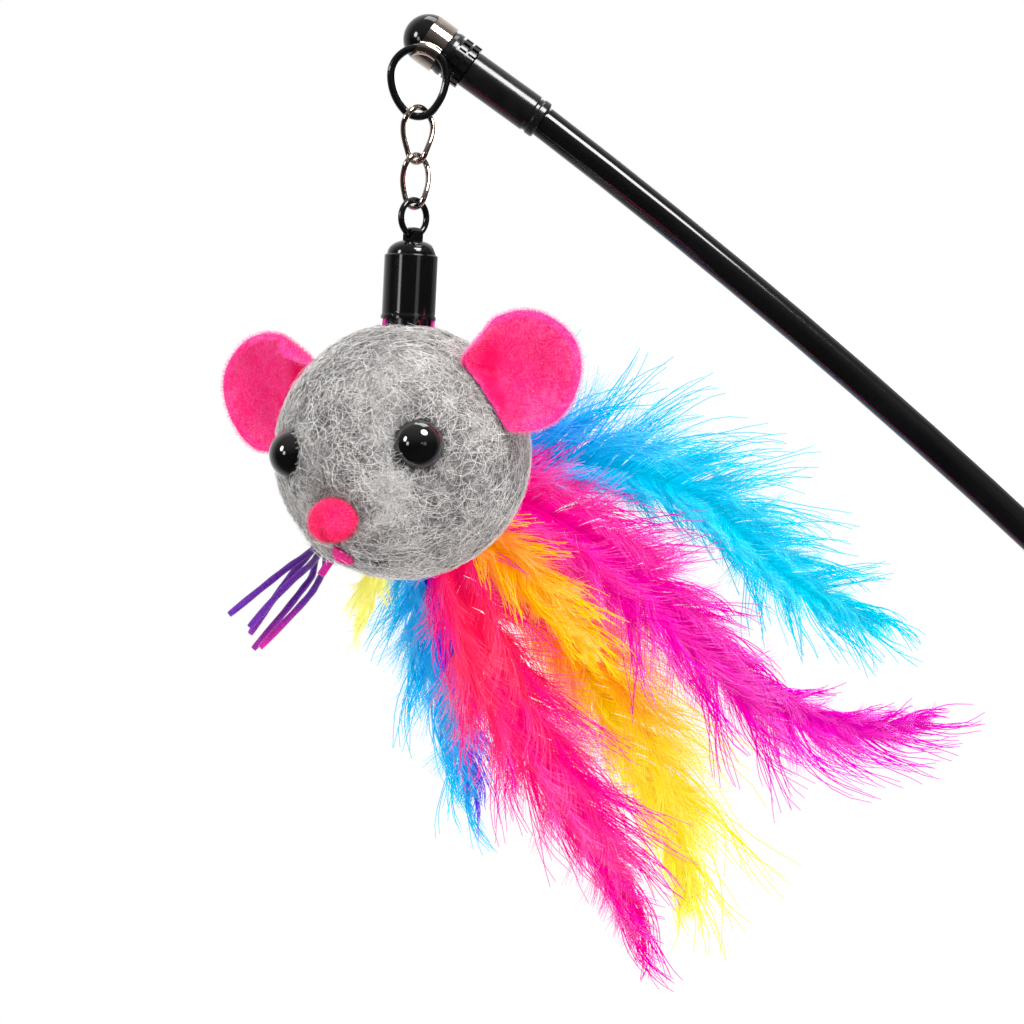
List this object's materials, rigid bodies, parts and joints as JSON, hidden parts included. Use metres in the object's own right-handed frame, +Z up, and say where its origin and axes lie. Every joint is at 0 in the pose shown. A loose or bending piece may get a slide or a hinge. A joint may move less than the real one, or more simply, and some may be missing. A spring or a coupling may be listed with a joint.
{
  "type": "cat teaser wand",
  "caption": "Bowed black wand with a swivel tip, ring and chain links from which a grey felt mouse with pink ears, cord tassel and rainbow feathers hangs.",
  "frame": {"origin": "middle of the grip, on its axis", "axes": "+Z up as the toy hangs, the wand slants down along +X from its tip to its butt, the mouse faces -Y"},
  "size_m": [0.3034, 0.0576, 0.2556],
  "materials": {
    "black_lacquer": "gloss black lacquer",
    "rod_black": "gloss black fibre rod",
    "tip_black": "gloss black moulding",
    "inner_plastic": "matt dark plastic",
    "spindle_steel": "plain steel pin",
    "chrome": "polished chrome",
    "grip_foam": "matt foam rubber",
    "felt_grey": "grey felted wool with light fibres",
    "plush_pink": "short pink plush",
    "eye_black": "polished black bead",
    "felt_nose": "pink red felt",
    "felt_tongue": "magenta felt",
    "thread_black": "black sewing thread",
    "ribbon_magenta": "satin ribbon",
    "cord_purple": "purple braided cord",
    "feather_cyan": "dyed plume, deep blue root to light cyan tip",
    "feather_magenta": "dyed plume, hot pink to magenta",
    "feather_orange": "dyed plume, red root to yellow tip",
    "feather_pink": "dyed plume, hot pink",
    "feather_blue": "dyed plume, blue and violet",
    "feather_amber": "dyed plume, amber",
    "feather_pale": "dyed plume, pale yellow"
  },
  "bodies": {
    "wand": {"wand_rod": "rod_black", "tip_ferrule": "tip_black", "ferrule_ring": "tip_black", "notched_collar": "tip_black", "neck_bush": "inner_plastic", "tip_spindle": "spindle_steel", "ball_cap": "tip_black", "handle_collar": "tip_black", "handle_core": "inner_plastic", "grip_sleeve": "grip_foam", "butt_cap": "tip_black"},
    "band": {"swivel_band": "chrome"},
    "ring": {"lure_ring": "black_lacquer"},
    "upper": {"link_upper": "chrome"},
    "lower": {"link_lower": "chrome"},
    "small": {"small_ring": "black_lacquer"},
    "mouse": {"bell_cap": "black_lacquer", "head_stem": "inner_plastic", "cap_gasket": "inner_plastic", "ribbon_tabs": "ribbon_magenta", "head": "felt_grey", "ear_left": "plush_pink", "ear_right": "plush_pink", "eye_left": "eye_black", "eye_right": "eye_black", "nose": "felt_nose", "tongue": "felt_tongue", "mouth_stitch": "thread_black", "tassel_binding": "cord_purple", "tassel_tab": "felt_tongue", "tassel_cord_1": "cord_purple", "tassel_cord_2": "cord_purple", "tassel_cord_3": "cord_purple", "tassel_cord_4": "cord_purple", "tassel_cord_5": "cord_purple", "feather_cyan": "feather_cyan", "feather_magenta": "feather_magenta", "feather_orange": "feather_orange", "feather_pink": "feather_pink", "feather_blue": "feather_blue", "feather_amber": "feather_amber", "feather_pale": "feather_pale"}
  },
  "joints": [
    {"name": "band_swivel", "type": "hinge", "parent": "wand", "child": "band", "pos_m": [-0.22168, 0, 0.20593], "axis": [0.8111, 0, -0.585], "continuous": true},
    {"name": "ring_turn", "type": "hinge", "parent": "band", "child": "ring", "pos_m": [-0.2247, -0.00535, 0.19956], "axis": [0, 1, 0], "range_deg": [-15, 40]},
    {"name": "upper_link_swing", "type": "hinge", "parent": "ring", "child": "upper", "pos_m": [-0.2247, -0.00535, 0.19176], "axis": [1, 0, 0], "range_deg": [-20, 20]},
    {"name": "lower_link_swing", "type": "hinge", "parent": "upper", "child": "lower", "pos_m": [-0.2251, -0.00535, 0.18314], "axis": [0.7063, -0.7071, -0.0333], "range_deg": [-25, 25]},
    {"name": "small_ring_swing", "type": "hinge", "parent": "lower", "child": "small", "pos_m": [-0.22551, -0.00535, 0.1746], "axis": [0.7063, -0.7071, -0.0333], "range_deg": [-25, 25]},
    {"name": "mouse_swing", "type": "hinge", "parent": "small", "child": "mouse", "pos_m": [-0.22575, -0.00535, 0.16936], "axis": [0.7063, 0.7071, -0.0333], "range_deg": [-14, 25]}
  ]
}
